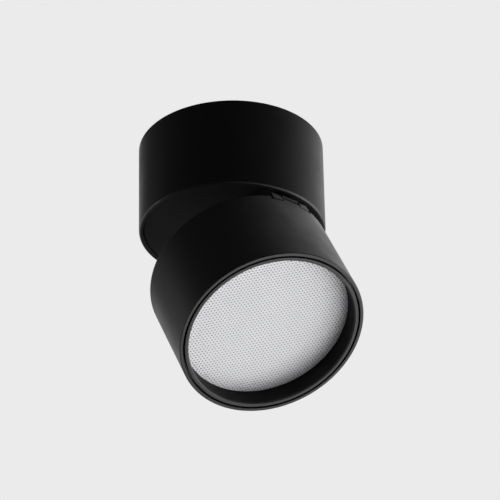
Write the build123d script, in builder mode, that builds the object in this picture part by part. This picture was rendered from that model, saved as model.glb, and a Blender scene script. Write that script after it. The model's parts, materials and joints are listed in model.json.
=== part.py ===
from build123d import *
import os
from math import cos, radians, sin, sqrt

# Adjustable ceiling light: a canister base, a swivel plate in its lower end and a head on an edge hinge.
# Millimetres, +Z up. The origin is the centre of the ceiling face, and the hinge is on the +X side.

os.makedirs("parts", exist_ok=True)

# Overall form
body_radius = 50.0
base_height = 51.8
head_length = 54.3
shadow_gap = 6.7  # from base to head when the head hangs straight
rest_tilt = 28.0  # degrees, head swung outwards over the hinge
edge_round = 0.5

# Fits between pieces
running_clearance = 0.05
thread_clearance = 0.05
hole_clearance = 0.2
assembly_gap = 0.3

# Screws
screw_radius = 1.5
small_screw_radius = 1.25
grub_radius = 1.5
head_to_shank = 1.9
head_height_to_shank = 1.2
key_to_shank = 0.9
key_depth_to_shank = 0.7

# Canister base and its ceiling plate
base_wall = 2.2
base_lower_round = 1.3
web_thickness = 3.0
ceiling_plate_thickness = 1.5
fixing_spacing = 60.0
fixing_slot_width = 4.6
fixing_slot_length = 14.0
locking_turn = 55.0  # degrees from the hinge to the first locking screw
locking_drop = 6.5  # from the ceiling to the locking screws
tab_width = 10.0
tab_thickness = 2.0
tab_drop = 9.0
grub_length = 6.0
cable_bore_radius = 4.5
cable_bush_wall = 1.2
bush_flange_width = 2.0
bush_flange_height = 2.5
earth_screw_radius = 2.0
earth_screw_length = 1.3
earth_screw_x = 33.0

# Mains terminal
terminal_width = 16.0
terminal_height = 14.0
terminal_pole_pitch = 10.0
terminal_poles = 3
terminal_setback = 4.0
wire_hole_radius = 1.9
wire_hole_height = 5.0
terminal_screw_radius = 1.6
terminal_screw_depth = 1.5

# Driver
driver_width = 26.0
driver_height = 27.0
driver_wall = 1.5
driver_setback = 2.0
driver_wall_gap = 1.0
driver_lid_lip = 2.0
driver_screw_inset = 8.0
driver_screw_length = 4.0
standoff_height = 5.0
standoff_size = 3.0
board_gap = 0.4
driver_board_thickness = 1.6
transformer_size = 14.0
transformer_height = 13.0
bobbin_flange = 1.2
winding_inset = 1.5
capacitor_radius = 4.0
capacitor_height = 14.0
capacitor_gap = 1.0
choke_radius = 5.5
choke_height = 9.0
choke_flange = 1.5
choke_waist = 1.6
component_margin = 0.5
lead_slot_width = 8.0
lead_slot_height = 5.0

# Swivel
plate_recess = 1.7
swivel_plate_thickness = 4.0
swivel_plate_gap = 0.3
swivel_plate_chamfer = 0.4
swivel_washer_thickness = 0.5
swivel_washer_width = 10.0
stem_radius = 6.0
stem_bore_radius = 3.8
stem_flange_radius = 10.0
stem_flange_thickness = 2.0
stem_overrun = 1.5
stem_nut_width = 16.0
stem_nut_height = 5.0
disc_spring_radius = 10.5
disc_spring_thickness = 0.8
disc_spring_rise = 0.5
stop_radius = 24.0
stop_pin_radius = 1.2
stop_pin_reach = 1.5
stop_groove_depth = 2.0
stop_groove_play = 0.4
stop_clearance = 0.15
swivel_limit = 175.0
lead_bush_bore_radius = 2.6
lead_bush_length = 6.0
lead_bush_flange_width = 1.6
lead_bush_flange_height = 1.2

# Hinge
pin_inset = 2.2  # from the head's outer wall in to the pin
pin_rise = 1.9  # from the head's rear edge up to the pin
pin_radius = 0.8
pin_end_chamfer = 0.2
friction_washer_thickness = 0.9
friction_washer_radius = 1.2
lug_radius = 1.65
lug_nose_reach = 2.0  # in front of the pin
lug_nose_rise = 1.55
lug_nose_slope = 0.5  # that the nose's front leans back
lug_width = 10.3
lug_setback = 3.5
lug_arm_depth = 7.0
lug_flange_length = 17.0
lug_flange_width = 26.0
lug_flange_thickness = 2.0
lug_screw_setback = 12.5
lug_screw_spacing = 18.0
lug_screw_length = 5.0
ear_radius = 1.65
ear_width = 5.6
ear_stand_out = 0.3
fork_plate_thickness = 1.4
fork_plate_length = 20.0
fork_screw_setback = 13.0
fork_screw_spacing = 15.0
fork_screw_length = 5.0
notch_side_gap = 1.4
notch_floor_gap = 0.8

# Head
head_wall = 1.75
rear_wall = 3.15  # behind the shoulder that the sink frame stops at
cover_recess = 2.2
rear_cover_thickness = 2.0
cover_screw_turn = 60.0  # degrees from the hinge
cover_screw_length = 9.0
grommet_bore_radius = 3.0
grommet_wall = 1.6
grommet_flange_width = 2.0
grommet_flange_height = 1.5
boss_radius = 3.0
boss_inset = 3.6
boss_hole_depth = 10.0
ledge_depth = 20.0
ledge_thickness = 3.0
ledge_width = 7.2
sink_screw_turn = 0.0  # degrees from the hinge
sink_screw_inset = 4.7
sink_screw_length = 6.5
sink_core_thickness = 5.0
sink_lead_radius = 4.0
fin_count = 24
fin_height = 13.0
fin_thickness = 1.6
fin_inner_radius = 14.0
fin_gap = 0.6
head_screw_count = 3

# Light source
thermal_pad_thickness = 0.5
led_board_radius = 38.0
led_board_thickness = 1.6
chip_length = 3.5
chip_width = 2.8
chip_height = 0.8
chip_margin = 11.0  # from the board's edge in to the outer ring of chips
chip_pitch = 9.0  # between rings
chip_rings = 3
chips_per_ring = 6
board_screw_inset = 5.0
board_screw_turn = 90.0  # degrees from the hinge
board_screw_length = 6.0
connector_length = 9.0
connector_width = 6.0
connector_height = 4.0
connector_inset = 4.5
reflector_gap = 0.6
reflector_top_wall = 1.5
reflector_rim_width = 1.7
gasket_thickness = 0.8
gasket_width = 2.1
diffuser_depth = 11.3  # from the head's front edge in to the diffuser
diffuser_thickness = 2.0
diffuser_seat = 1.6
groove_width = 1.1
groove_depth = 4.0
lip_width = 2.05
lip_round = 0.6
lip_groove_round = 0.2
lip_thickness = 0.9
sleeve_wall = 0.8
sleeve_step = 0.15  # from the lip's bore out to the sleeve's
ring_fit_gap = 0.2
ring_skirt_height = 4.0

# Levels and radii in the base
base_bore_radius = body_radius - base_wall
plate_face_z = plate_recess - base_height
plate_top_z = plate_face_z + swivel_plate_thickness
web_bottom_z = plate_top_z + swivel_washer_thickness
web_top_z = web_bottom_z + web_thickness
nut_corner_radius = stem_nut_width / sqrt(3)
cable_hole_radius = cable_bore_radius + cable_bush_wall

# Hinge pin, and the head's own frame: its origin is the centre of the rear edge, +Z towards the base
pin_x = body_radius - pin_inset
pin_z = -base_height - shadow_gap + pin_rise
tilt_cos = cos(radians(rest_tilt))
tilt_sin = sin(radians(rest_tilt))
head_origin = (
    pin_x - pin_x * tilt_cos + pin_rise * tilt_sin,
    0,
    pin_z - pin_x * tilt_sin - pin_rise * tilt_cos,
)
head_frame = Plane(origin=head_origin, x_dir=(tilt_cos, 0, tilt_sin), z_dir=(-tilt_sin, 0, tilt_cos))
head_side = Plane(origin=head_origin, x_dir=head_frame.x_dir, z_dir=-head_frame.y_dir)
head_axis = Axis(head_frame.origin, head_frame.z_dir)

# Depths in the head, from its rear edge
head_bore_radius = body_radius - head_wall
rear_bore_radius = body_radius - rear_wall
cover_bottom_depth = cover_recess + rear_cover_thickness
core_top_depth = ledge_depth + ledge_thickness
core_bottom_depth = core_top_depth + sink_core_thickness
board_top_depth = core_bottom_depth + thermal_pad_thickness
board_bottom_depth = board_top_depth + led_board_thickness
diffuser_face_depth = head_length - diffuser_depth
diffuser_back_depth = diffuser_face_depth - diffuser_thickness
gasket_back_depth = diffuser_back_depth - gasket_thickness

# Radii in the head
ring_bore_radius = head_bore_radius - groove_width - lip_width
ring_radius = head_bore_radius - ring_fit_gap
sleeve_bore_radius = ring_bore_radius + sleeve_step
sleeve_radius = sleeve_bore_radius + sleeve_wall
diffuser_radius = ring_bore_radius + diffuser_seat
ledge_bore_radius = head_bore_radius - ledge_width
boss_circle = rear_bore_radius - boss_inset
sink_screw_circle = head_bore_radius - sink_screw_inset
board_screw_circle = led_board_radius - board_screw_inset
chip_circle = led_board_radius - chip_margin
grommet_hole_radius = grommet_bore_radius + grommet_wall

# Hinge widths, from the middle outwards
ear_inner = lug_width / 2 + friction_washer_thickness
ear_outer = ear_inner + ear_width


def head_level(depth):
    """Cross-section plane of the head at a depth below its rear edge."""
    return head_frame.offset(-depth)


def far_seam(level):
    """The same plane turned half round, so that a round wall's seam lies opposite the hinge."""
    return Plane(origin=level.origin, x_dir=-level.x_dir, z_dir=level.z_dir)


def radial_plane(turn, height):
    """Plane through the base's axis at a height, facing outwards at a turn from the hinge."""
    outwards = (cos(radians(turn)), sin(radians(turn)), 0)
    return Plane(origin=(0, 0, height), x_dir=(0, 0, 1), z_dir=outwards)


def ring_spots(radius, count, turn):
    """Evenly spaced points on a circle, the first at the given turn."""
    angles = [radians(turn + 360 * step / count) for step in range(count)]
    return [(radius * cos(angle), radius * sin(angle)) for angle in angles]


def pan_screws(seat, spots, shank_radius, length):
    """Pan-head screws with hexagon keys: heads above the seat plane, shanks below it."""
    head_height = head_height_to_shank * shank_radius
    with BuildPart() as screws:
        with BuildSketch(seat):
            with Locations(*spots):
                Circle(head_to_shank * shank_radius)
        extrude(amount=head_height)
        with BuildSketch(seat):
            with Locations(*spots):
                Circle(shank_radius)
        extrude(amount=-length)
        with BuildSketch(seat.offset(head_height)):
            with Locations(*spots):
                RegularPolygon(key_to_shank * shank_radius, 6)
        extrude(amount=-key_depth_to_shank * shank_radius, mode=Mode.SUBTRACT)
    return screws


def flanged_bush(seat, neck_radius, neck_length, flange_width, flange_height, bore_radius):
    """Round bush: its flange stands above the seat plane and its neck reaches below it."""
    with BuildPart() as bush:
        with BuildSketch(seat):
            Circle(neck_radius + flange_width)
        extrude(amount=flange_height)
        with BuildSketch(seat):
            Circle(neck_radius)
        extrude(amount=-neck_length)
        with BuildSketch(seat.offset(flange_height)):
            Circle(bore_radius)
        extrude(amount=-flange_height - neck_length, mode=Mode.SUBTRACT)
    return bush


def flat_ring(plane, outer_radius, inner_radius, height):
    """Flat ring that stands on a plane."""
    with BuildPart() as ring:
        with BuildSketch(plane):
            Circle(outer_radius)
            Circle(inner_radius, mode=Mode.SUBTRACT)
        extrude(amount=height)
    return ring


# Ceiling plate with slotted fixing holes, cable hole and two tabs
tab_centre = sqrt((base_bore_radius - assembly_gap) ** 2 - (tab_width / 2) ** 2) - tab_thickness / 2
locking_turns = (locking_turn, locking_turn + 180)
with BuildPart() as ceiling_plate:
    with BuildSketch():
        Circle(base_bore_radius - assembly_gap)
        Circle(cable_hole_radius, mode=Mode.SUBTRACT)
        with GridLocations(0, fixing_spacing, 1, 2):
            SlotOverall(fixing_slot_length, fixing_slot_width, rotation=90, mode=Mode.SUBTRACT)
        with Locations((earth_screw_x, 0)):
            Circle(earth_screw_radius + thread_clearance, mode=Mode.SUBTRACT)
    extrude(amount=-ceiling_plate_thickness)
    with BuildSketch(Plane.XY.offset(-ceiling_plate_thickness)):
        with PolarLocations(tab_centre, len(locking_turns), start_angle=locking_turn):
            Rectangle(tab_thickness, tab_width)
    extrude(amount=-tab_drop)
    for turn in locking_turns:
        with BuildSketch(radial_plane(turn, -locking_drop)):
            Circle(grub_radius + thread_clearance)
        extrude(amount=body_radius, mode=Mode.SUBTRACT)
ceiling_plate.part.label = "ceiling_plate"
export_step(ceiling_plate.part, "parts/ceiling_plate.step")

# Canister: a plain cup above and below an inner web
driver_inner_x = -nut_corner_radius - driver_setback
driver_x = driver_inner_x - driver_width / 2
driver_reach = base_bore_radius - driver_wall_gap
driver_length = 2 * sqrt(driver_reach**2 - (driver_inner_x - driver_width) ** 2)
driver_screw_y = driver_length / 2 - driver_screw_inset
driver_screw_spots = [(driver_x, -driver_screw_y), (driver_x, driver_screw_y)]
with BuildPart() as base_housing:
    with BuildSketch(far_seam(Plane.XY)):
        Circle(body_radius)
    extrude(amount=-base_height)
    lower_edge = base_housing.edges().group_by(Axis.Z)[0]
    fillet(lower_edge, base_lower_round)
    with BuildSketch():
        Circle(base_bore_radius)
    extrude(amount=web_top_z, mode=Mode.SUBTRACT)
    with BuildSketch(Plane.XY.offset(-base_height)):
        Circle(base_bore_radius)
    extrude(amount=base_height + web_bottom_z, mode=Mode.SUBTRACT)
    with BuildSketch(Plane.XY.offset(web_top_z)):
        Circle(stem_radius + running_clearance)
        with Locations((-stop_radius, 0)):
            Circle(stop_pin_radius + thread_clearance)
        with Locations(*driver_screw_spots):
            Circle(screw_radius + thread_clearance)
    extrude(amount=-web_thickness, mode=Mode.SUBTRACT)
    for turn in locking_turns:
        with BuildSketch(radial_plane(turn, -locking_drop)):
            Circle(grub_radius + hole_clearance)
        extrude(amount=body_radius, mode=Mode.SUBTRACT)
base_housing.part.label = "base_housing"
export_step(base_housing.part, "parts/base_housing.step")

# Locking screws: headless, flush with the canister's wall
with BuildPart() as locking_screws:
    for turn in locking_turns:
        screw_end = radial_plane(turn, -locking_drop).offset(body_radius - assembly_gap)
        with BuildSketch(screw_end):
            Circle(grub_radius)
        extrude(amount=-grub_length)
        with BuildSketch(screw_end):
            RegularPolygon(key_to_shank * grub_radius, 6)
        extrude(amount=-key_depth_to_shank * grub_radius, mode=Mode.SUBTRACT)
locking_screws.part.label = "locking_screws"
export_step(locking_screws.part, "parts/locking_screws.step")

# Cable bush in the ceiling plate, its flange below the plate
plate_underside = Plane(origin=(0, 0, -ceiling_plate_thickness), x_dir=(1, 0, 0), z_dir=(0, 0, -1))
cable_bush = flanged_bush(
    plate_underside,
    cable_hole_radius - thread_clearance,
    ceiling_plate_thickness,
    bush_flange_width,
    bush_flange_height,
    cable_bore_radius,
)
cable_bush.part.label = "cable_bush"
export_step(cable_bush.part, "parts/cable_bush.step")

# Earth screw under the ceiling plate
earth_screw = pan_screws(plate_underside, [(earth_screw_x, 0)], earth_screw_radius, earth_screw_length)
earth_screw.part.label = "earth_screw"
export_step(earth_screw.part, "parts/earth_screw.step")

# Terminal block on the web: wire holes across it, screw wells from above
web_top = Plane.XY.offset(web_top_z)
terminal_x = nut_corner_radius + terminal_setback + terminal_width / 2
terminal_length = terminal_pole_pitch * terminal_poles
terminal_side = Plane(
    origin=(terminal_x - terminal_width / 2, 0, web_top_z + wire_hole_height),
    x_dir=(0, 1, 0),
    z_dir=(1, 0, 0),
)
terminal_top = web_top.offset(terminal_height)
with BuildPart() as terminal_block:
    with BuildSketch(web_top):
        with Locations((terminal_x, 0)):
            Rectangle(terminal_width, terminal_length)
    extrude(amount=terminal_height)
    with BuildSketch(terminal_side):
        with GridLocations(terminal_pole_pitch, 0, terminal_poles, 1):
            Circle(wire_hole_radius)
    extrude(amount=terminal_width, mode=Mode.SUBTRACT)
    with BuildSketch(terminal_top):
        with Locations((terminal_x, 0)):
            with GridLocations(0, terminal_pole_pitch, 1, terminal_poles):
                Circle(terminal_screw_radius + thread_clearance)
    extrude(amount=wire_hole_height - terminal_height, mode=Mode.SUBTRACT)
terminal_block.part.label = "terminal_block"
export_step(terminal_block.part, "parts/terminal_block.step")

# Terminal screws in their wells
terminal_screw_length = terminal_height - wire_hole_height - terminal_screw_depth
with BuildPart() as terminal_screws:
    with BuildSketch(terminal_top.offset(-terminal_screw_depth)):
        with Locations((terminal_x, 0)):
            with GridLocations(0, terminal_pole_pitch, 1, terminal_poles):
                Circle(terminal_screw_radius)
    extrude(amount=-terminal_screw_length)
    with BuildSketch(terminal_top.offset(-terminal_screw_depth)):
        with Locations((terminal_x, 0)):
            with GridLocations(0, terminal_pole_pitch, 1, terminal_poles):
                RegularPolygon(key_to_shank * terminal_screw_radius, 6)
    extrude(amount=-key_depth_to_shank * terminal_screw_radius, mode=Mode.SUBTRACT)
terminal_screws.part.label = "terminal_screws"
export_step(terminal_screws.part, "parts/terminal_screws.step")

# Driver tray: open box on the web with corner standoffs and a slot for the leads
tray_width = driver_width - 2 * driver_wall
tray_length = driver_length - 2 * driver_wall
tray_height = driver_height - driver_wall
tray_floor = web_top.offset(driver_wall)
with BuildPart() as driver_tray:
    with BuildSketch(web_top):
        with Locations((driver_x, 0)):
            Rectangle(driver_width, driver_length)
    extrude(amount=tray_height)
    with BuildSketch(tray_floor):
        with Locations((driver_x, 0)):
            Rectangle(tray_width, tray_length)
    extrude(amount=tray_height, mode=Mode.SUBTRACT)
    with BuildSketch(tray_floor):
        with Locations((driver_x, 0)):
            with GridLocations(tray_width - standoff_size, tray_length - standoff_size, 2, 2):
                Rectangle(standoff_size, standoff_size)
    extrude(amount=standoff_height)
    with BuildSketch(tray_floor):
        with Locations(*driver_screw_spots):
            Circle(screw_radius + hole_clearance)
    extrude(amount=-driver_wall, mode=Mode.SUBTRACT)
    with BuildSketch(web_top.offset(tray_height)):
        with Locations((driver_inner_x - driver_wall / 2, 0)):
            Rectangle(2 * driver_wall, lead_slot_width)
    extrude(amount=-driver_lid_lip - lead_slot_height, mode=Mode.SUBTRACT)
driver_tray.part.label = "driver_tray"
export_step(driver_tray.part, "parts/driver_tray.step")

# Driver lid with a lip inside the tray's walls
with BuildPart() as driver_lid:
    with BuildSketch(web_top.offset(tray_height)):
        with Locations((driver_x, 0)):
            Rectangle(driver_width, driver_length)
    extrude(amount=driver_wall)
    with BuildSketch(web_top.offset(tray_height)):
        with Locations((driver_x, 0)):
            Rectangle(tray_width - 2 * assembly_gap, tray_length - 2 * assembly_gap)
            Rectangle(
                tray_width - 2 * (assembly_gap + driver_wall),
                tray_length - 2 * (assembly_gap + driver_wall),
                mode=Mode.SUBTRACT,
            )
    extrude(amount=-driver_lid_lip)
driver_lid.part.label = "driver_lid"
export_step(driver_lid.part, "parts/driver_lid.step")

# Driver screws through the tray's floor into the web
driver_screws = pan_screws(tray_floor, driver_screw_spots, screw_radius, driver_screw_length)
driver_screws.part.label = "driver_screws"
export_step(driver_screws.part, "parts/driver_screws.step")

# Driver board on the standoffs
driver_board_length = tray_length - 2 * board_gap
with BuildPart() as driver_board:
    with BuildSketch(tray_floor.offset(standoff_height)):
        with Locations((driver_x, 0)):
            Rectangle(tray_width - 2 * board_gap, driver_board_length)
    extrude(amount=driver_board_thickness)
driver_board.part.label = "driver_board"
export_step(driver_board.part, "parts/driver_board.step")

# Transformer midway between the choke and the capacitors: bobbin flanges round a narrower winding
board_face = tray_floor.offset(standoff_height + driver_board_thickness)
capacitor_y = driver_board_length / 2 - component_margin - capacitor_radius
choke_y = -driver_board_length / 2 + component_margin + choke_radius
transformer_y = (choke_y + choke_radius + capacitor_y - capacitor_radius) / 2
winding_size = transformer_size - 2 * winding_inset
with BuildPart() as transformer:
    with BuildSketch(board_face):
        with Locations((driver_x, transformer_y)):
            Rectangle(transformer_size, transformer_size)
    extrude(amount=bobbin_flange)
    with BuildSketch(board_face.offset(bobbin_flange)):
        with Locations((driver_x, transformer_y)):
            Circle(winding_size / 2)
    extrude(amount=transformer_height - 2 * bobbin_flange)
    with BuildSketch(board_face.offset(transformer_height)):
        with Locations((driver_x, transformer_y)):
            Rectangle(transformer_size, transformer_size)
    extrude(amount=-bobbin_flange)
transformer.part.label = "transformer"
export_step(transformer.part, "parts/transformer.step")

# Electrolytic capacitors side by side near the board's end
capacitor_pitch = 2 * capacitor_radius + capacitor_gap
with BuildPart() as capacitors:
    with BuildSketch(board_face):
        with Locations((driver_x, capacitor_y)):
            with GridLocations(capacitor_pitch, 0, 2, 1):
                Circle(capacitor_radius)
    extrude(amount=capacitor_height)
    fillet(capacitors.edges().group_by(Axis.Z)[-1], edge_round)
capacitors.part.label = "capacitors"
export_step(capacitors.part, "parts/capacitors.step")

# Drum choke near the other end
with BuildPart() as choke:
    with BuildSketch(board_face):
        with Locations((driver_x, choke_y)):
            Circle(choke_radius)
    extrude(amount=choke_height)
    with BuildSketch(board_face.offset(choke_flange)):
        with Locations((driver_x, choke_y)):
            Circle(choke_radius)
            Circle(choke_radius - choke_waist, mode=Mode.SUBTRACT)
    extrude(amount=choke_height - 2 * choke_flange, mode=Mode.SUBTRACT)
choke.part.label = "choke"
export_step(choke.part, "parts/choke.step")

# Friction washer between the web and the swivel plate
swivel_washer = flat_ring(
    Plane.XY.offset(plate_top_z),
    stem_radius + hole_clearance + swivel_washer_width,
    stem_radius + hole_clearance,
    swivel_washer_thickness,
)
swivel_washer.part.label = "swivel_washer"
export_step(swivel_washer.part, "parts/swivel_washer.step")

# Stop pin: through the web, into the swivel plate's groove on the side away from the hinge
with BuildPart() as stop_pin:
    with BuildSketch(web_top):
        with Locations((-stop_radius, 0)):
            Circle(stop_pin_radius)
    extrude(amount=-web_thickness - swivel_washer_thickness - stop_pin_reach)
stop_pin.part.label = "stop_pin"
export_step(stop_pin.part, "parts/stop_pin.step")

# Swivel plate: ring groove with one stop block, stem seat and lug screw holes
plate_face = Plane.XY.offset(plate_face_z)
plate_top = Plane.XY.offset(plate_top_z)
groove_half = stop_pin_radius + stop_groove_play
stop_angle = radians(180 - swivel_limit)
stop_block_width = 2 * (stop_radius * sin(stop_angle) - stop_pin_radius - stop_clearance)
lug_screw_x = pin_x - lug_screw_setback
lug_screw_spots = [(lug_screw_x, -lug_screw_spacing / 2), (lug_screw_x, lug_screw_spacing / 2)]
with BuildPart() as swivel_plate:
    with BuildSketch(plate_face):
        Circle(base_bore_radius - swivel_plate_gap)
    extrude(amount=swivel_plate_thickness)
    chamfer(swivel_plate.edges().group_by(Axis.Z)[0], swivel_plate_chamfer)
    with BuildSketch(plate_top):
        Circle(stop_radius + groove_half)
        Circle(stop_radius - groove_half, mode=Mode.SUBTRACT)
        with Locations((stop_radius, 0)):
            Rectangle(4 * groove_half, stop_block_width, mode=Mode.SUBTRACT)
    extrude(amount=-stop_groove_depth, mode=Mode.SUBTRACT)
    with BuildSketch(plate_face):
        Circle(stem_radius + thread_clearance)
        with Locations(*lug_screw_spots):
            Circle(screw_radius + thread_clearance)
    extrude(amount=swivel_plate_thickness, mode=Mode.SUBTRACT)
    with BuildSketch(plate_face):
        Circle(stem_flange_radius + hole_clearance)
    extrude(amount=stem_flange_thickness, mode=Mode.SUBTRACT)
swivel_plate.part.label = "swivel_plate"
export_step(swivel_plate.part, "parts/swivel_plate.step")

# Hollow stem: flange let into the plate's face, shaft up through the web
spring_height = disc_spring_thickness + disc_spring_rise
stem_top_z = web_top_z + spring_height + stem_nut_height + stem_overrun
with BuildPart() as swivel_stem:
    with BuildSketch(plate_face):
        Circle(stem_flange_radius)
    extrude(amount=stem_flange_thickness)
    with BuildSketch(plate_face):
        Circle(stem_radius)
    extrude(amount=stem_top_z - plate_face_z)
    with BuildSketch(plate_face):
        Circle(stem_bore_radius)
    extrude(amount=stem_top_z - plate_face_z, mode=Mode.SUBTRACT)
swivel_stem.part.label = "swivel_stem"
export_step(swivel_stem.part, "parts/swivel_stem.step")

# Disc spring on the web: a shallow cone under the nut
spring_bore_radius = stem_radius + hole_clearance
with BuildPart() as disc_spring:
    with BuildSketch(Plane.XZ):
        with BuildLine():
            Polyline(
                (disc_spring_radius, web_top_z),
                (disc_spring_radius, web_top_z + disc_spring_thickness),
                (spring_bore_radius, web_top_z + spring_height),
                (spring_bore_radius, web_top_z + disc_spring_rise),
                close=True,
            )
        make_face()
    revolve(axis=Axis.Z)
disc_spring.part.label = "disc_spring"
export_step(disc_spring.part, "parts/disc_spring.step")

# Stem nut
with BuildPart() as stem_nut:
    with BuildSketch(Plane.XY.offset(web_top_z + spring_height)):
        RegularPolygon(nut_corner_radius, 6)
        Circle(stem_radius + thread_clearance, mode=Mode.SUBTRACT)
    extrude(amount=stem_nut_height)
stem_nut.part.label = "stem_nut"
export_step(stem_nut.part, "parts/stem_nut.step")

# Lead bush in the stem's lower mouth
plate_underface = Plane(origin=(0, 0, plate_face_z), x_dir=(1, 0, 0), z_dir=(0, 0, -1))
lead_bush = flanged_bush(
    plate_underface,
    stem_bore_radius - thread_clearance,
    lead_bush_length,
    lead_bush_flange_width,
    lead_bush_flange_height,
    lead_bush_bore_radius,
)
lead_bush.part.label = "lead_bush"
export_step(lead_bush.part, "parts/lead_bush.step")

# Hinge lug: flange under the swivel plate and one arm down to the pin
lug_front_x = pin_x - lug_setback
lug_flange_x = lug_front_x - lug_flange_length / 2
base_side = Plane(origin=(0, 0, 0), x_dir=(1, 0, 0), z_dir=(0, -1, 0))
with BuildPart() as hinge_lug:
    with BuildSketch(plate_face):
        with Locations((lug_flange_x, 0)):
            Rectangle(lug_flange_length, lug_flange_width)
        with Locations(*lug_screw_spots):
            Circle(screw_radius + hole_clearance, mode=Mode.SUBTRACT)
    extrude(amount=-lug_flange_thickness)
    with BuildSketch(base_side):
        with BuildLine():
            Polyline(
                (lug_front_x - lug_arm_depth, plate_face_z),
                (lug_front_x, plate_face_z),
                (pin_x + lug_radius, pin_z),
                (pin_x - lug_radius, pin_z),
                close=True,
            )
        make_face()
        with BuildLine():
            Polyline(
                (pin_x, pin_z),
                (pin_x + lug_nose_reach, pin_z),
                (pin_x + lug_nose_reach - lug_nose_slope, pin_z + lug_nose_rise),
                (pin_x, pin_z + lug_nose_rise),
                close=True,
            )
        make_face()
        with Locations((pin_x, pin_z)):
            Circle(lug_radius)
    extrude(amount=lug_width / 2, both=True)
    with BuildSketch(base_side):
        with Locations((pin_x, pin_z)):
            Circle(pin_radius + running_clearance)
    extrude(amount=lug_width, both=True, mode=Mode.SUBTRACT)
hinge_lug.part.label = "hinge_lug"
export_step(hinge_lug.part, "parts/hinge_lug.step")

# Lug screws up into the swivel plate
lug_seat = plate_underface.offset(lug_flange_thickness)
lug_screws = pan_screws(lug_seat, lug_screw_spots, screw_radius, lug_screw_length)
lug_screws.part.label = "lug_screws"
export_step(lug_screws.part, "parts/lug_screws.step")

# Hinge fork in the head: plate on the rear cover, two ears standing out through the notch,
# and a relief slot at the root of each ear
fork_plate_depth = cover_recess - fork_plate_thickness
fork_screw_x = pin_x - fork_screw_setback
fork_screw_spots = [(fork_screw_x, -fork_screw_spacing / 2), (fork_screw_x, fork_screw_spacing / 2)]
relief_y = (lug_width + friction_washer_thickness) / 2
relief_spots = [(pin_x - ear_radius, -relief_y), (pin_x - ear_radius, relief_y)]
with BuildPart() as hinge_fork:
    with BuildSketch(head_side):
        with Locations((pin_x, pin_rise)):
            Circle(ear_radius)
        with BuildLine():
            Polyline(
                (pin_x - ear_radius, pin_rise),
                (pin_x + ear_radius, pin_rise),
                (pin_x + ear_radius, -cover_recess),
                (pin_x - ear_radius, -cover_recess),
                close=True,
            )
        make_face()
    extrude(amount=ear_outer, both=True)
    with BuildSketch(head_side):
        with Locations((pin_x, -fork_plate_depth)):
            Rectangle(4 * ear_radius, 4 * ear_radius, align=(Align.CENTER, Align.MIN))
    extrude(amount=ear_inner, both=True, mode=Mode.SUBTRACT)
    with BuildSketch(head_level(cover_recess)):
        with Locations((pin_x, 0)):
            Rectangle(fork_plate_length, 2 * ear_outer, align=(Align.MAX, Align.CENTER))
        with Locations(*fork_screw_spots):
            Circle(screw_radius + hole_clearance, mode=Mode.SUBTRACT)
    extrude(amount=fork_plate_thickness)
    with BuildSketch(head_level(cover_recess)):
        with Locations(*relief_spots):
            Rectangle(3 * ear_radius, friction_washer_thickness, align=(Align.MIN, Align.CENTER))
    extrude(amount=fork_plate_thickness, mode=Mode.SUBTRACT)
    with BuildSketch(head_side):
        with Locations((pin_x, pin_rise)):
            Circle(pin_radius + thread_clearance)
    extrude(amount=ear_outer, both=True, mode=Mode.SUBTRACT)
    with BuildSketch(head_level(cover_recess)):
        Circle(body_radius + ear_stand_out)
    extrude(amount=cover_recess + pin_rise + ear_radius, mode=Mode.INTERSECT)
hinge_fork.part.label = "hinge_fork"
export_step(hinge_fork.part, "parts/hinge_fork.step")

# Fork screws into the rear cover
fork_seat = head_level(fork_plate_depth)
fork_screws = pan_screws(fork_seat, fork_screw_spots, screw_radius, fork_screw_length)
fork_screws.part.label = "fork_screws"
export_step(fork_screws.part, "parts/fork_screws.step")

# Hinge pin across both ears
with BuildPart() as hinge_pin:
    with BuildSketch(head_side):
        with Locations((pin_x, pin_rise)):
            Circle(pin_radius)
    extrude(amount=ear_outer, both=True)
    chamfer(hinge_pin.edges().filter_by(GeomType.CIRCLE), pin_end_chamfer)
hinge_pin.part.label = "hinge_pin"
export_step(hinge_pin.part, "parts/hinge_pin.step")

# Friction washers between the lug and the ears
with BuildPart() as friction_washers:
    for side in (head_side.offset(lug_width / 2), head_side.offset(-ear_inner)):
        with BuildSketch(side):
            with Locations((pin_x, pin_rise)):
                Circle(friction_washer_radius)
                Circle(pin_radius + thread_clearance, mode=Mode.SUBTRACT)
        extrude(amount=friction_washer_thickness)
friction_washers.part.label = "friction_washers"
export_step(friction_washers.part, "parts/friction_washers.step")

# Head housing: turned tube, thicker behind a shoulder, with the hinge notch in its rear edge
notch_depth = cover_recess + notch_floor_gap
with BuildPart() as head_housing:
    with BuildSketch(far_seam(head_level(head_length))):
        Circle(body_radius)
    extrude(amount=head_length)
    end_edges = head_housing.edges().filter_by(GeomType.CIRCLE)
    fillet(end_edges, edge_round)
    with BuildSketch(head_level(head_length)):
        Circle(rear_bore_radius)
    extrude(amount=head_length, mode=Mode.SUBTRACT)
    with BuildSketch(head_level(head_length)):
        Circle(head_bore_radius)
    extrude(amount=head_length - ledge_depth, mode=Mode.SUBTRACT)
    with BuildSketch(head_level(notch_depth)):
        Rectangle(2 * body_radius, 2 * (ear_outer + notch_side_gap), align=(Align.MIN, Align.CENTER))
    extrude(amount=notch_depth, mode=Mode.SUBTRACT)
head_housing.part.label = "head_housing"
export_step(head_housing.part, "parts/head_housing.step")

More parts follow.
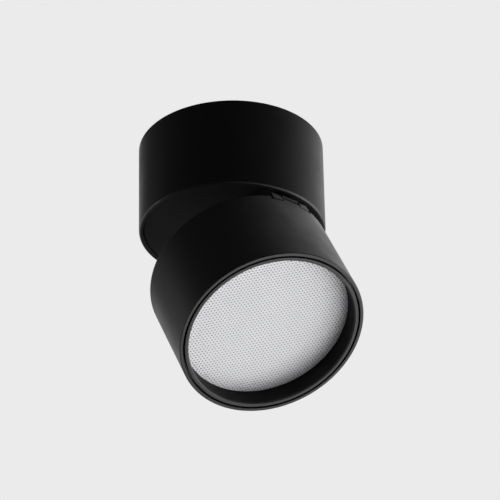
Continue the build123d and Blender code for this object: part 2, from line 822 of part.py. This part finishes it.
# Sink frame: ledge ring against the tube's shoulder, with bosses for the rear cover
cover_screw_spots = ring_spots(boss_circle, head_screw_count, cover_screw_turn)
sink_screw_spots = ring_spots(sink_screw_circle, head_screw_count, sink_screw_turn)
with BuildPart() as sink_frame:
    with BuildSketch(head_level(core_top_depth)):
        Circle(head_bore_radius - assembly_gap)
        Circle(ledge_bore_radius, mode=Mode.SUBTRACT)
    extrude(amount=ledge_thickness)
    with BuildSketch(head_level(core_top_depth)):
        with Locations(*cover_screw_spots):
            Circle(boss_radius)
    extrude(amount=core_top_depth - cover_bottom_depth)
    with BuildSketch(head_level(cover_bottom_depth)):
        with Locations(*cover_screw_spots):
            Circle(screw_radius + thread_clearance)
    extrude(amount=-boss_hole_depth, mode=Mode.SUBTRACT)
    with BuildSketch(head_level(ledge_depth)):
        with Locations(*sink_screw_spots):
            Circle(screw_radius + hole_clearance)
    extrude(amount=-ledge_thickness, mode=Mode.SUBTRACT)
sink_frame.part.label = "sink_frame"
export_step(sink_frame.part, "parts/sink_frame.step")

# Rear cover on the sink frame's bosses
with BuildPart() as rear_cover:
    with BuildSketch(head_level(cover_bottom_depth)):
        Circle(rear_bore_radius - assembly_gap)
        Circle(grommet_hole_radius, mode=Mode.SUBTRACT)
        with Locations(*cover_screw_spots):
            Circle(screw_radius + hole_clearance, mode=Mode.SUBTRACT)
        with Locations(*fork_screw_spots):
            Circle(screw_radius + thread_clearance, mode=Mode.SUBTRACT)
    extrude(amount=rear_cover_thickness)
rear_cover.part.label = "rear_cover"
export_step(rear_cover.part, "parts/rear_cover.step")

# Cover screws into the bosses
cover_seat = head_level(cover_recess)
cover_screws = pan_screws(cover_seat, cover_screw_spots, screw_radius, cover_screw_length)
cover_screws.part.label = "cover_screws"
export_step(cover_screws.part, "parts/cover_screws.step")

# Grommet in the rear cover for the leads
head_grommet = flanged_bush(
    cover_seat,
    grommet_hole_radius - thread_clearance,
    rear_cover_thickness,
    grommet_flange_width,
    grommet_flange_height,
    grommet_bore_radius,
)
head_grommet.part.label = "head_grommet"
export_step(head_grommet.part, "parts/head_grommet.step")

# Heat sink: core under the frame's ledge, radial fins up through it
fin_outer_radius = ledge_bore_radius - fin_gap
board_screw_spots = ring_spots(board_screw_circle, head_screw_count, board_screw_turn)
with BuildPart() as heat_sink:
    with BuildSketch(head_level(core_bottom_depth)):
        Circle(head_bore_radius - assembly_gap)
        with Locations(*sink_screw_spots):
            Circle(screw_radius + thread_clearance, mode=Mode.SUBTRACT)
        with Locations(*board_screw_spots):
            Circle(small_screw_radius + thread_clearance, mode=Mode.SUBTRACT)
        Circle(sink_lead_radius, mode=Mode.SUBTRACT)
    extrude(amount=sink_core_thickness)
    with BuildSketch(head_level(core_top_depth)):
        with PolarLocations((fin_inner_radius + fin_outer_radius) / 2, fin_count, 360 / fin_count / 2):
            Rectangle(fin_outer_radius - fin_inner_radius, fin_thickness)
    extrude(amount=fin_height)
heat_sink.part.label = "heat_sink"
export_step(heat_sink.part, "parts/heat_sink.step")

# Heat sink screws down through the frame's ledge
sink_screws = pan_screws(head_level(ledge_depth), sink_screw_spots, screw_radius, sink_screw_length)
sink_screws.part.label = "sink_screws"
export_step(sink_screws.part, "parts/sink_screws.step")

# Thermal pad under the core
with BuildPart() as thermal_pad:
    with BuildSketch(head_level(board_top_depth)):
        Circle(led_board_radius)
        with Locations(*board_screw_spots):
            Circle(small_screw_radius + hole_clearance, mode=Mode.SUBTRACT)
    extrude(amount=thermal_pad_thickness)
thermal_pad.part.label = "thermal_pad"
export_step(thermal_pad.part, "parts/thermal_pad.step")

# LED board
with BuildPart() as led_board:
    with BuildSketch(head_level(board_bottom_depth)):
        Circle(led_board_radius)
        with Locations(*board_screw_spots):
            Circle(small_screw_radius + hole_clearance, mode=Mode.SUBTRACT)
    extrude(amount=led_board_thickness)
led_board.part.label = "led_board"
export_step(led_board.part, "parts/led_board.step")

# LED chips: one in the middle and rings round it
with BuildPart() as led_chips:
    with BuildSketch(head_level(board_bottom_depth)):
        Rectangle(chip_length, chip_width)
        for ring in range(1, chip_rings + 1):
            with PolarLocations(chip_circle - (chip_rings - ring) * chip_pitch, ring * chips_per_ring):
                Rectangle(chip_length, chip_width)
    extrude(amount=-chip_height)
led_chips.part.label = "led_chips"
export_step(led_chips.part, "parts/led_chips.step")

# LED board screws up into the core
board_seat = Plane(
    origin=head_level(board_bottom_depth).origin,
    x_dir=head_frame.x_dir,
    z_dir=-head_frame.z_dir,
)
mirrored_board_spots = [(x, -y) for x, y in board_screw_spots]
board_screws = pan_screws(board_seat, mirrored_board_spots, small_screw_radius, board_screw_length)
board_screws.part.label = "board_screws"
export_step(board_screws.part, "parts/board_screws.step")

# Lead connector near the board's edge
with BuildPart() as board_connector:
    with BuildSketch(head_level(board_bottom_depth)):
        with Locations((-led_board_radius + connector_inset, 0)):
            Rectangle(connector_width, connector_length)
    extrude(amount=-connector_height)
board_connector.part.label = "board_connector"
export_step(board_connector.part, "parts/board_connector.step")

# Reflector: cone from the core down to the gasket
reflector_top_radius = led_board_radius + reflector_gap
reflector_rim_radius = diffuser_radius - assembly_gap
with BuildPart() as reflector:
    with BuildSketch(head_side):
        with BuildLine():
            Polyline(
                (reflector_top_radius, -core_bottom_depth),
                (reflector_top_radius + reflector_top_wall, -core_bottom_depth),
                (reflector_rim_radius, -gasket_back_depth),
                (reflector_rim_radius - reflector_rim_width, -gasket_back_depth),
                close=True,
            )
        make_face()
    revolve(axis=head_axis)
reflector.part.label = "reflector"
export_step(reflector.part, "parts/reflector.step")

# Gasket between reflector and diffuser
diffuser_gasket = flat_ring(
    head_level(diffuser_back_depth),
    reflector_rim_radius,
    reflector_rim_radius - gasket_width,
    gasket_thickness,
)
diffuser_gasket.part.label = "diffuser_gasket"
export_step(diffuser_gasket.part, "parts/diffuser_gasket.step")

# Diffuser disc
with BuildPart() as diffuser:
    with BuildSketch(head_level(diffuser_face_depth)):
        Circle(diffuser_radius)
    extrude(amount=diffuser_thickness)
diffuser.part.label = "diffuser"
export_step(diffuser.part, "parts/diffuser.step")

# Baffle sleeve: inner wall from the diffuser to the ring's lip
sleeve_front_depth = head_length - lip_thickness
baffle_sleeve = flat_ring(
    head_level(sleeve_front_depth),
    sleeve_radius,
    sleeve_bore_radius,
    sleeve_front_depth - diffuser_face_depth,
)
baffle_sleeve.part.label = "baffle_sleeve"
export_step(baffle_sleeve.part, "parts/baffle_sleeve.step")

# Front ring: rounded lip inside the head's edge over the sleeve, and a skirt round the diffuser
skirt_bore_radius = diffuser_radius + assembly_gap / 2
with BuildPart() as front_ring:
    with BuildSketch(head_level(diffuser_face_depth)):
        Circle(ring_radius)
        Circle(skirt_bore_radius, mode=Mode.SUBTRACT)
    extrude(amount=ring_skirt_height)
    with BuildSketch(head_level(diffuser_face_depth)):
        Circle(ring_radius)
        Circle(ring_bore_radius, mode=Mode.SUBTRACT)
    extrude(amount=groove_depth - diffuser_depth)
    with BuildSketch(head_level(head_length - groove_depth)):
        Circle(ring_bore_radius + lip_width)
        Circle(ring_bore_radius, mode=Mode.SUBTRACT)
    extrude(amount=-groove_depth)
    with BuildSketch(head_level(sleeve_front_depth)):
        Circle(sleeve_radius + running_clearance)
    extrude(amount=sleeve_front_depth - diffuser_face_depth, mode=Mode.SUBTRACT)
    lip_edges = front_ring.edges().filter_by(GeomType.CIRCLE).group_by(head_axis)[0]
    fillet(lip_edges.sort_by(SortBy.RADIUS)[0], lip_round)
    lip_edges = front_ring.edges().filter_by(GeomType.CIRCLE).group_by(head_axis)[0]
    fillet(lip_edges.sort_by(SortBy.RADIUS)[-1], lip_groove_round)
front_ring.part.label = "front_ring"
export_step(front_ring.part, "parts/front_ring.step")
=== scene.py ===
import json
from math import cos, radians, sin, sqrt

import bpy
from mathutils import Matrix, Vector


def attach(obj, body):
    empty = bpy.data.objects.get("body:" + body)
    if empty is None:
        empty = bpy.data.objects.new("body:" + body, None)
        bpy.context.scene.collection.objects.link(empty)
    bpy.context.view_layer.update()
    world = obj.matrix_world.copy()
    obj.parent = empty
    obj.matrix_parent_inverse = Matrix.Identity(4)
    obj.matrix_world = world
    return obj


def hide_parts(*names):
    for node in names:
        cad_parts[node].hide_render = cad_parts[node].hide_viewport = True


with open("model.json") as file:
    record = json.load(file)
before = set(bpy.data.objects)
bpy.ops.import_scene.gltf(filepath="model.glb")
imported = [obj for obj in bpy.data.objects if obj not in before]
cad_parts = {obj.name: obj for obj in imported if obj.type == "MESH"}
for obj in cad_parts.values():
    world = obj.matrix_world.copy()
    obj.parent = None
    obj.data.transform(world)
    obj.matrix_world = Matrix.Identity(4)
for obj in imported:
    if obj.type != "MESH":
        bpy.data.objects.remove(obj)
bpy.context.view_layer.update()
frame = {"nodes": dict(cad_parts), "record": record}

# Adjustable ceiling light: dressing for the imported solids, in metres, in the part's own frame.
MM = 0.001
scene = bpy.context.scene

# Head's own frame: centre of its rear edge, tilted about the hinge
REST_TILT = radians(28.0)
HEAD_ORIGIN = Vector((6.487, 0, -80.718)) * MM
HEAD_X = Vector((cos(REST_TILT), 0, sin(REST_TILT)))
HEAD_OUT = Vector((sin(REST_TILT), 0, -cos(REST_TILT)))

# Embossed diffuser
DIFFUSER_DEPTH = 43.0 * MM  # from the head's rear edge to the embossed face
DIFFUSER_RADIUS = 46.6 * MM
DIFFUSER_THICKNESS = 1.9 * MM
CELL_PITCH = 1.8 * MM
CELL_LAND = 0.46 * MM  # flat border inside a cell's edge
CELL_WALL = 0.34 * MM  # width of the pit's slope
CELL_DEPTH = 0.5 * MM
CELL_TIP = 0.12 * MM  # that the pit's middle lies deeper
LATTICE_TURN = radians(4.7)
MERGE_DISTANCE = 0.01 * MM
RIM_SIDES = 192
CUTTER_DEPTH = 6 * DIFFUSER_THICKNESS

# Grain of the finishes: fine noise, with larger patches of uneven gloss
GRAIN_DETAIL = 3.0
GRAIN_ROUGHNESS = 0.6
PATCH_TO_GRAIN = 40
PATCH_DETAIL = 2.0
NOISE_LOW = 0.3  # the noise mostly keeps between these two
NOISE_HIGH = 0.7

# Photograph's camera
VIEW_TARGET = Vector((1.538, 10.642, -59.434)) * MM
VIEW_DISTANCE = 1.7138
VIEW_AZIMUTH = radians(51.42)
VIEW_ELEVATION = radians(-31.33)
VIEW_ROLL = radians(-1.17)
VIEW_REACH = 50
SENSOR_WIDTH = 36.0
FOCAL_PIXELS = 3200
IMAGE_WIDTH = 500

# Softboxes: metres to the view's right, up and towards the camera, then width in metres and watts
SOFTBOXES = {
    "key_softbox": (1.21, -0.39, -0.26, 1.50, 14.7),
    "key_core": (1.06, -0.75, 0.14, 1.05, 3.0),
    "low_softbox": (0.78, -0.96, 0.39, 1.21, 6.5),
    "front_fill": (0.81, -0.59, 0.83, 1.21, 4.0),
    "left_softbox": (-1.26, -0.20, -0.26, 0.95, 2.4),
    "low_left_edge": (-0.79, -0.59, -0.85, 0.85, 2.2),
    "low_left_fill": (-0.41, -1.23, -0.06, 1.05, 0.8),
    "backdrop_lamp": (0.0, 0.13, -1.29, 1.50, 2.6),
}

# Room round the light
ROOM_COLOUR = "#3A3A3A"
BACKDROP_COLOUR = "#EBEBEB"
BACKDROP_RIGHT = 0.25  # of the backdrop's middle, for a distance of one along the view
BACKDROP_UP = 0.35
BACKDROP_FADE = 0.60  # cosine of the angle from that middle at which reflections no longer show it
BACKDROP_FULL = 1.0
CEILING_HEIGHT = 2.4
FLOOR_SIZE = 8
FLOOR_SHOWN = 0.85  # share of the plain backdrop colour that the camera sees on the floor


def linear(hex_colour):
    """sRGB hex colour as linear RGBA."""
    channels = [int(hex_colour[start:start + 2], 16) / 255 for start in (1, 3, 5)]
    curve = [c / 12.92 if c <= 0.04045 else ((c + 0.055) / 1.055) ** 2.4 for c in channels]
    return (*curve, 1.0)


def add_node(tree, kind, settings, links):
    """Adds a node: settings are inputs or properties by name, links join outputs to inputs by name."""
    made = tree.nodes.new(kind)
    for name, value in settings.items():
        if isinstance(name, int) or name in made.inputs:
            made.inputs[name].default_value = value
        else:
            setattr(made, name, value)
    for name, output in links.items():
        tree.links.new(output, made.inputs[name])
    return made


def new_material(name):
    """Material with an empty node tree."""
    material = bpy.data.materials.new(name)
    material.use_nodes = True
    material.node_tree.nodes.clear()
    return material


def speckled_surface(tree, colours, grain_mm, roughness, relief_mm, shader, stretch=(1, 1, 1)):
    """Shader with a grain: two colours, a roughness range and a relief, all from the grain's size."""
    place = add_node(tree, "ShaderNodeTexCoord", {}, {})
    stretched = add_node(tree, "ShaderNodeMapping", {"Scale": stretch}, {"Vector": place.outputs["Object"]})
    grain = add_node(
        tree,
        "ShaderNodeTexNoise",
        {"Scale": 1 / (grain_mm * MM), "Detail": GRAIN_DETAIL, "Roughness": GRAIN_ROUGHNESS},
        {"Vector": stretched.outputs["Vector"]},
    )
    patches = add_node(
        tree,
        "ShaderNodeTexNoise",
        {"Scale": 1 / (PATCH_TO_GRAIN * grain_mm * MM), "Detail": PATCH_DETAIL},
        {"Vector": stretched.outputs["Vector"]},
    )
    tone = add_node(
        tree,
        "ShaderNodeMix",
        {"data_type": "RGBA", 6: linear(colours[0]), 7: linear(colours[1])},
        {0: grain.outputs["Fac"]},
    )
    gloss = add_node(
        tree,
        "ShaderNodeMapRange",
        {"From Min": NOISE_LOW, "From Max": NOISE_HIGH, "To Min": roughness[0], "To Max": roughness[1]},
        {"Value": patches.outputs["Fac"]},
    )
    relief = add_node(
        tree,
        "ShaderNodeBump",
        {"Strength": 1.0, "Distance": relief_mm * MM},
        {"Height": grain.outputs["Fac"]},
    )
    return add_node(
        tree,
        "ShaderNodeBsdfPrincipled",
        shader,
        {
            "Base Color": tone.outputs[2],
            "Roughness": gloss.outputs["Result"],
            "Normal": relief.outputs["Normal"],
        },
    )


def speckled_finish(name, colours, grain_mm, roughness, relief_mm, shader, stretch=(1, 1, 1)):
    """Material of one speckled surface."""
    material = new_material(name)
    tree = material.node_tree
    surface = speckled_surface(tree, colours, grain_mm, roughness, relief_mm, shader, stretch)
    add_node(tree, "ShaderNodeOutputMaterial", {}, {"Surface": surface.outputs["BSDF"]})
    return material


# Finishes by the record's slots. The black coats' grain is finer than a pixel of the photograph's view,
# where the real one doesn't show either, and it shows from nearer.
SLOT_FINISHES = {
    # Polyester powder coat, baked on: near black and matt, with a fine closed grain
    "powder_coat": speckled_finish(
        "black_powder_coat", ("#0C0C0D", "#101011"), 0.35, (0.42, 0.50), 0.006, {"IOR": 1.5}
    ),
    # Satin powder coat on the turned ring: a little smoother than the housings
    "ring_coat": speckled_finish(
        "satin_black_powder_coat", ("#0D0D0E", "#111112"), 0.3, (0.42, 0.50), 0.004, {"IOR": 1.5}
    ),
    # Moulded polycarbonate baffle: dead matt, with a spark-eroded skin that traps light
    "baffle_black": speckled_finish(
        "dead_matt_black_polycarbonate",
        ("#060606", "#0A0A0A"),
        0.3,
        (0.72, 0.84),
        0.02,
        {"IOR": 1.585, "Specular IOR Level": 0.2},
    ),
    # Satin paint on the steel hinge: black, and shinier than the coats, so that its edges catch light
    "hinge_steel": speckled_finish(
        "satin_black_paint_on_steel", ("#0E0E0F", "#131314"), 0.3, (0.36, 0.44), 0.004, {"IOR": 1.5}
    ),
    # Zinc plated steel: bluish bright metal with a rolled grain along Y
    "zinc_steel": speckled_finish(
        "zinc_plated_steel",
        ("#A9ADB1", "#C2C5C8"),
        0.4,
        (0.28, 0.40),
        0.004,
        {"Metallic": 1.0},
        (1, 0.1, 1),
    ),
    # Black oxide on screws and pins: dark oiled metal
    "screw_steel": speckled_finish(
        "black_oxide_steel", ("#2A2A2C", "#36363A"), 0.2, (0.34, 0.46), 0.003, {"Metallic": 1.0}
    ),
    # Turned brass: yellow metal with fine turning marks
    "brass": speckled_finish(
        "turned_brass", ("#B8913F", "#CBA654"), 0.15, (0.22, 0.32), 0.002, {"Metallic": 1.0}, (1, 1, 4)
    ),
    # Moulded rubber: dull, dark, slightly mottled
    "rubber": speckled_finish(
        "moulded_rubber", ("#161616", "#202020"), 0.5, (0.66, 0.78), 0.01, {"IOR": 1.52}
    ),
    # Natural nylon: milky, waxy plastic
    "nylon": speckled_finish(
        "natural_nylon", ("#DAD7CC", "#E4E1D8"), 0.6, (0.40, 0.50), 0.004, {"IOR": 1.53}
    ),
    # Black acetal friction washers: smooth, slightly waxy
    "black_acetal": speckled_finish(
        "moulded_black_acetal", ("#0E0E0E", "#141414"), 0.4, (0.40, 0.50), 0.003, {"IOR": 1.48}
    ),
    # Moulded polycarbonate driver case: light grey with a spark-eroded texture
    "driver_case": speckled_finish(
        "grey_polycarbonate", ("#CFCFCC", "#DADAD7"), 0.4, (0.46, 0.58), 0.012, {"IOR": 1.585}
    ),
    # Solder mask over copper: glossy green, slightly uneven
    "circuit_board": speckled_finish(
        "green_solder_mask", ("#17502F", "#1E6239"), 1.2, (0.26, 0.36), 0.006, {"IOR": 1.5}
    ),
    # Ferrite core with tape round it: dull dark brown
    "ferrite": speckled_finish(
        "ferrite_and_tape", ("#3A332C", "#4A4036"), 0.4, (0.42, 0.56), 0.01, {"IOR": 1.5}
    ),
    # Shrink sleeve of the capacitors: smooth dark film
    "capacitor_sleeve": speckled_finish(
        "shrink_sleeve", ("#16161F", "#20202B"), 0.8, (0.24, 0.34), 0.004, {"IOR": 1.5}
    ),
    # Bare die cast aluminium: pale grey metal with a sandy skin
    "sink_metal": speckled_finish(
        "die_cast_aluminium", ("#B3B5B7", "#C6C8C9"), 0.5, (0.40, 0.54), 0.012, {"Metallic": 1.0}
    ),
    # Silicone heat pad: soft blue-grey
    "thermal_pad": speckled_finish(
        "silicone_heat_pad", ("#8A8FA0", "#989DAD"), 0.6, (0.60, 0.72), 0.01, {"IOR": 1.41}
    ),
    # Solder mask on the LED board: clean white, fairly glossy
    "led_board": speckled_finish(
        "white_solder_mask", ("#E6E6E2", "#EEEEEA"), 0.8, (0.30, 0.40), 0.004, {"IOR": 1.5}
    ),
    # Phosphor silicone over the LED chips: deep yellow, smooth
    "led_phosphor": speckled_finish(
        "phosphor_silicone", ("#E7CB5E", "#F0D872"), 0.3, (0.18, 0.28), 0.003, {"IOR": 1.43}
    ),
    # Moulded polycarbonate reflector: glossy white
    "reflector_white": speckled_finish(
        "white_polycarbonate", ("#ECECEA", "#F2F2F0"), 0.6, (0.26, 0.36), 0.004, {"IOR": 1.585}
    ),
    # Opal acrylic, embossed: milky white and satin, because light scatters under its skin
    "opal_acrylic": speckled_finish(
        "embossed_opal_acrylic", ("#F1F0F3", "#F6F5F8"), 0.5, (0.28, 0.38), 0.002, {"IOR": 1.49}
    ),
}
# Pits of the embossed cells: the same acrylic in a greyer colour, which is painted shade in the hollows of
# the cells
opal_pit_painted_shade = speckled_finish(
    "embossed_opal_acrylic_cell_painted_shade", ("#BBBABF", "#C3C2C7"), 0.5, (0.28, 0.38), 0.002, {"IOR": 1.49}
)

for entry in frame["record"]["subparts"]:
    solid = frame["nodes"][entry["node"]]
    solid.data.materials.clear()
    solid.data.materials.append(SLOT_FINISHES[entry["material_slot"]])


def select_only(piece):
    """Makes one object the selected and active one."""
    bpy.ops.object.select_all(action="DESELECT")
    piece.select_set(True)
    bpy.context.view_layer.objects.active = piece


def repeat(piece, count, step):
    """Copies the mesh along a step."""
    select_only(piece)
    copies = piece.modifiers.new("copies", "ARRAY")
    copies.count = count
    copies.use_relative_offset = False
    copies.use_constant_offset = True
    copies.constant_offset_displace = step
    bpy.ops.object.modifier_apply(modifier="copies")


def emboss_cell(corner):
    """One hexagonal cell: a flat border round a pit with a deeper middle."""
    bpy.ops.object.select_all(action="DESELECT")
    bpy.ops.mesh.primitive_circle_add(vertices=6, radius=corner, fill_type="NGON")
    cell = bpy.context.active_object
    cell.name = "embossed_diffuser"
    cell.data.materials.append(SLOT_FINISHES["opal_acrylic"])
    cell.data.materials.append(opal_pit_painted_shade)
    bpy.ops.object.mode_set(mode="EDIT")
    bpy.ops.mesh.select_all(action="SELECT")
    bpy.ops.mesh.inset(thickness=CELL_LAND, depth=0)
    # the pits take the greyer acrylic: painted shade in each cell's hollow
    cell.active_material_index = 1
    bpy.ops.object.material_slot_assign()
    bpy.ops.mesh.inset(thickness=CELL_WALL, depth=-CELL_DEPTH)
    bpy.ops.mesh.poke(offset=-CELL_TIP)
    bpy.ops.object.mode_set(mode="OBJECT")
    return cell


def close_back(plate, middle):
    """Joins the cells, centres them and gives them sides and a back."""
    select_only(plate)
    bpy.ops.object.mode_set(mode="EDIT")
    bpy.ops.mesh.select_all(action="SELECT")
    bpy.ops.mesh.remove_doubles(threshold=MERGE_DISTANCE)
    bpy.ops.transform.translate(value=-middle)
    bpy.ops.mesh.region_to_loop()
    bpy.ops.mesh.extrude_edges_move(TRANSFORM_OT_translate={"value": (0, 0, -DIFFUSER_THICKNESS)})
    bpy.ops.mesh.edge_face_add()
    bpy.ops.mesh.select_all(action="SELECT")
    bpy.ops.mesh.normals_make_consistent(inside=False)
    bpy.ops.object.mode_set(mode="OBJECT")


def cut_round(plate):
    """Cuts the plate to a disc."""
    bpy.ops.object.select_all(action="DESELECT")
    bpy.ops.mesh.primitive_cylinder_add(vertices=RIM_SIDES, radius=DIFFUSER_RADIUS, depth=CUTTER_DEPTH)
    cutter = bpy.context.active_object
    select_only(plate)
    cut = plate.modifiers.new("round", "BOOLEAN")
    cut.operation = "INTERSECT"
    cut.solver = "EXACT"
    cut.object = cutter
    bpy.ops.object.modifier_apply(modifier="round")
    bpy.data.objects.remove(cutter)


def set_in_head(plate):
    """Moves the disc to its seat in the head, its cells facing out, with its place in its mesh."""
    side = HEAD_OUT.cross(HEAD_X)
    turn = Matrix((HEAD_X, side, HEAD_OUT)).transposed().to_4x4()
    centre = HEAD_ORIGIN + HEAD_OUT * DIFFUSER_DEPTH
    plate.matrix_world = Matrix.Translation(centre) @ turn @ Matrix.Rotation(LATTICE_TURN, 4, "Z")
    select_only(plate)
    bpy.ops.object.transform_apply(location=True, rotation=True, scale=True)


def model_diffuser():
    """Embossed disc: one cell, repeated in rows, given a back, cut round and set in the head."""
    corner = CELL_PITCH / sqrt(3)
    row = 1.5 * corner
    across = int(2 * DIFFUSER_RADIUS / CELL_PITCH) + 4
    down = int(DIFFUSER_RADIUS / row) + 2
    plate = emboss_cell(corner)
    repeat(plate, 2, (CELL_PITCH / 2, row, 0))
    repeat(plate, across, (CELL_PITCH, 0, 0))
    repeat(plate, down, (0, 2 * row, 0))
    close_back(plate, Vector((CELL_PITCH * (across - 0.5) / 2, row * (2 * down - 1) / 2, 0)))
    cut_round(plate)
    set_in_head(plate)
    return plate


diffuser = model_diffuser()
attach(diffuser, "head")
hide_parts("diffuser")

# Camera
view_back = Vector((
    sin(VIEW_AZIMUTH) * cos(VIEW_ELEVATION),
    -cos(VIEW_AZIMUTH) * cos(VIEW_ELEVATION),
    sin(VIEW_ELEVATION),
))
view_level = Vector((cos(VIEW_AZIMUTH), sin(VIEW_AZIMUTH), 0))
view_upright = view_back.cross(view_level)
view_right = view_level * cos(VIEW_ROLL) + view_upright * sin(VIEW_ROLL)
view_up = view_upright * cos(VIEW_ROLL) - view_level * sin(VIEW_ROLL)
camera_data = bpy.data.cameras.new("camera")
camera_data.sensor_width = SENSOR_WIDTH
camera_data.lens = SENSOR_WIDTH * FOCAL_PIXELS / IMAGE_WIDTH
camera_data.clip_end = VIEW_REACH
camera = bpy.data.objects.new("camera", camera_data)
camera.matrix_world = (
    Matrix.Translation(VIEW_TARGET + view_back * VIEW_DISTANCE)
    @ Matrix((view_right, view_up, view_back)).transposed().to_4x4()
)
scene.collection.objects.link(camera)
scene.camera = camera


def hang_softbox(name, across, upward, towards, width, power):
    """Round area lamp, placed by the photograph's view and aimed at the light."""
    lamp_data = bpy.data.lights.new(name, "AREA")
    lamp_data.shape = "DISK"
    lamp_data.size = width
    lamp_data.energy = power
    lamp = bpy.data.objects.new(name, lamp_data)
    offset = view_right * across + view_up * upward + view_back * towards
    lamp.location = VIEW_TARGET + offset
    lamp.rotation_euler = offset.to_track_quat("Z", "Y").to_euler()
    lamp.visible_camera = False
    scene.collection.objects.link(lamp)


for lamp_name, lamp_values in SOFTBOXES.items():
    hang_softbox(lamp_name, *lamp_values)


def paint_room():
    """World: pale for the camera and for gloss and glass on the far side, a dim room for other light."""
    world = bpy.data.worlds.new("studio")
    scene.world = world
    world.use_nodes = True
    world.cycles.sampling_method = "NONE"
    tree = world.node_tree
    tree.nodes.clear()
    backdrop_middle = (view_right * BACKDROP_RIGHT + view_up * BACKDROP_UP - view_back).normalized()
    rays = add_node(tree, "ShaderNodeLightPath", {}, {})
    direction = add_node(tree, "ShaderNodeTexCoord", {}, {})
    facing = add_node(
        tree,
        "ShaderNodeVectorMath",
        {"operation": "DOT_PRODUCT", 1: backdrop_middle},
        {0: direction.outputs["Generated"]},
    )
    far_side = add_node(
        tree,
        "ShaderNodeMapRange",
        {"interpolation_type": "SMOOTHSTEP", "From Min": BACKDROP_FADE, "From Max": BACKDROP_FULL},
        {"Value": facing.outputs["Value"]},
    )
    shiny = add_node(
        tree,
        "ShaderNodeMath",
        {"operation": "MAXIMUM"},
        {0: rays.outputs["Is Glossy Ray"], 1: rays.outputs["Is Transmission Ray"]},
    )
    mirrored = add_node(
        tree,
        "ShaderNodeMath",
        {"operation": "MULTIPLY"},
        {0: shiny.outputs["Value"], 1: far_side.outputs["Result"]},
    )
    pale = add_node(
        tree,
        "ShaderNodeMath",
        {"operation": "MAXIMUM"},
        {0: rays.outputs["Is Camera Ray"], 1: mirrored.outputs["Value"]},
    )
    room = add_node(tree, "ShaderNodeBackground", {"Color": linear(ROOM_COLOUR), "Strength": 1.0}, {})
    backdrop = add_node(
        tree, "ShaderNodeBackground", {"Color": linear(BACKDROP_COLOUR), "Strength": 1.0}, {}
    )
    sky = add_node(
        tree,
        "ShaderNodeMixShader",
        {},
        {0: pale.outputs["Value"], 1: room.outputs["Background"], 2: backdrop.outputs["Background"]},
    )
    add_node(tree, "ShaderNodeOutputWorld", {}, {"Surface": sky.outputs["Shader"]})


def floor_finish():
    """Pale matt floor paint, which the camera sees mostly in the backdrop's colour."""
    material = new_material("pale_floor_paint")
    tree = material.node_tree
    paint = speckled_surface(tree, ("#E4E4E4", "#EAEAEA"), 20, (0.7, 0.8), 0.01, {"IOR": 1.45})
    rays = add_node(tree, "ShaderNodeLightPath", {}, {})
    share = add_node(
        tree,
        "ShaderNodeMath",
        {"operation": "MULTIPLY", 1: FLOOR_SHOWN},
        {0: rays.outputs["Is Camera Ray"]},
    )
    glow = add_node(tree, "ShaderNodeEmission", {"Color": linear(BACKDROP_COLOUR), "Strength": 1.0}, {})
    look = add_node(
        tree,
        "ShaderNodeMixShader",
        {},
        {0: share.outputs["Value"], 1: paint.outputs["BSDF"], 2: glow.outputs["Emission"]},
    )
    add_node(tree, "ShaderNodeOutputMaterial", {}, {"Surface": look.outputs["Shader"]})
    return material


paint_room()
bpy.ops.object.select_all(action="DESELECT")
bpy.ops.mesh.primitive_plane_add(size=FLOOR_SIZE, location=(0, 0, -CEILING_HEIGHT))
floor = bpy.context.active_object
floor.name = "floor"
floor.data.materials.append(floor_finish())

scene.view_settings.view_transform = "Standard"
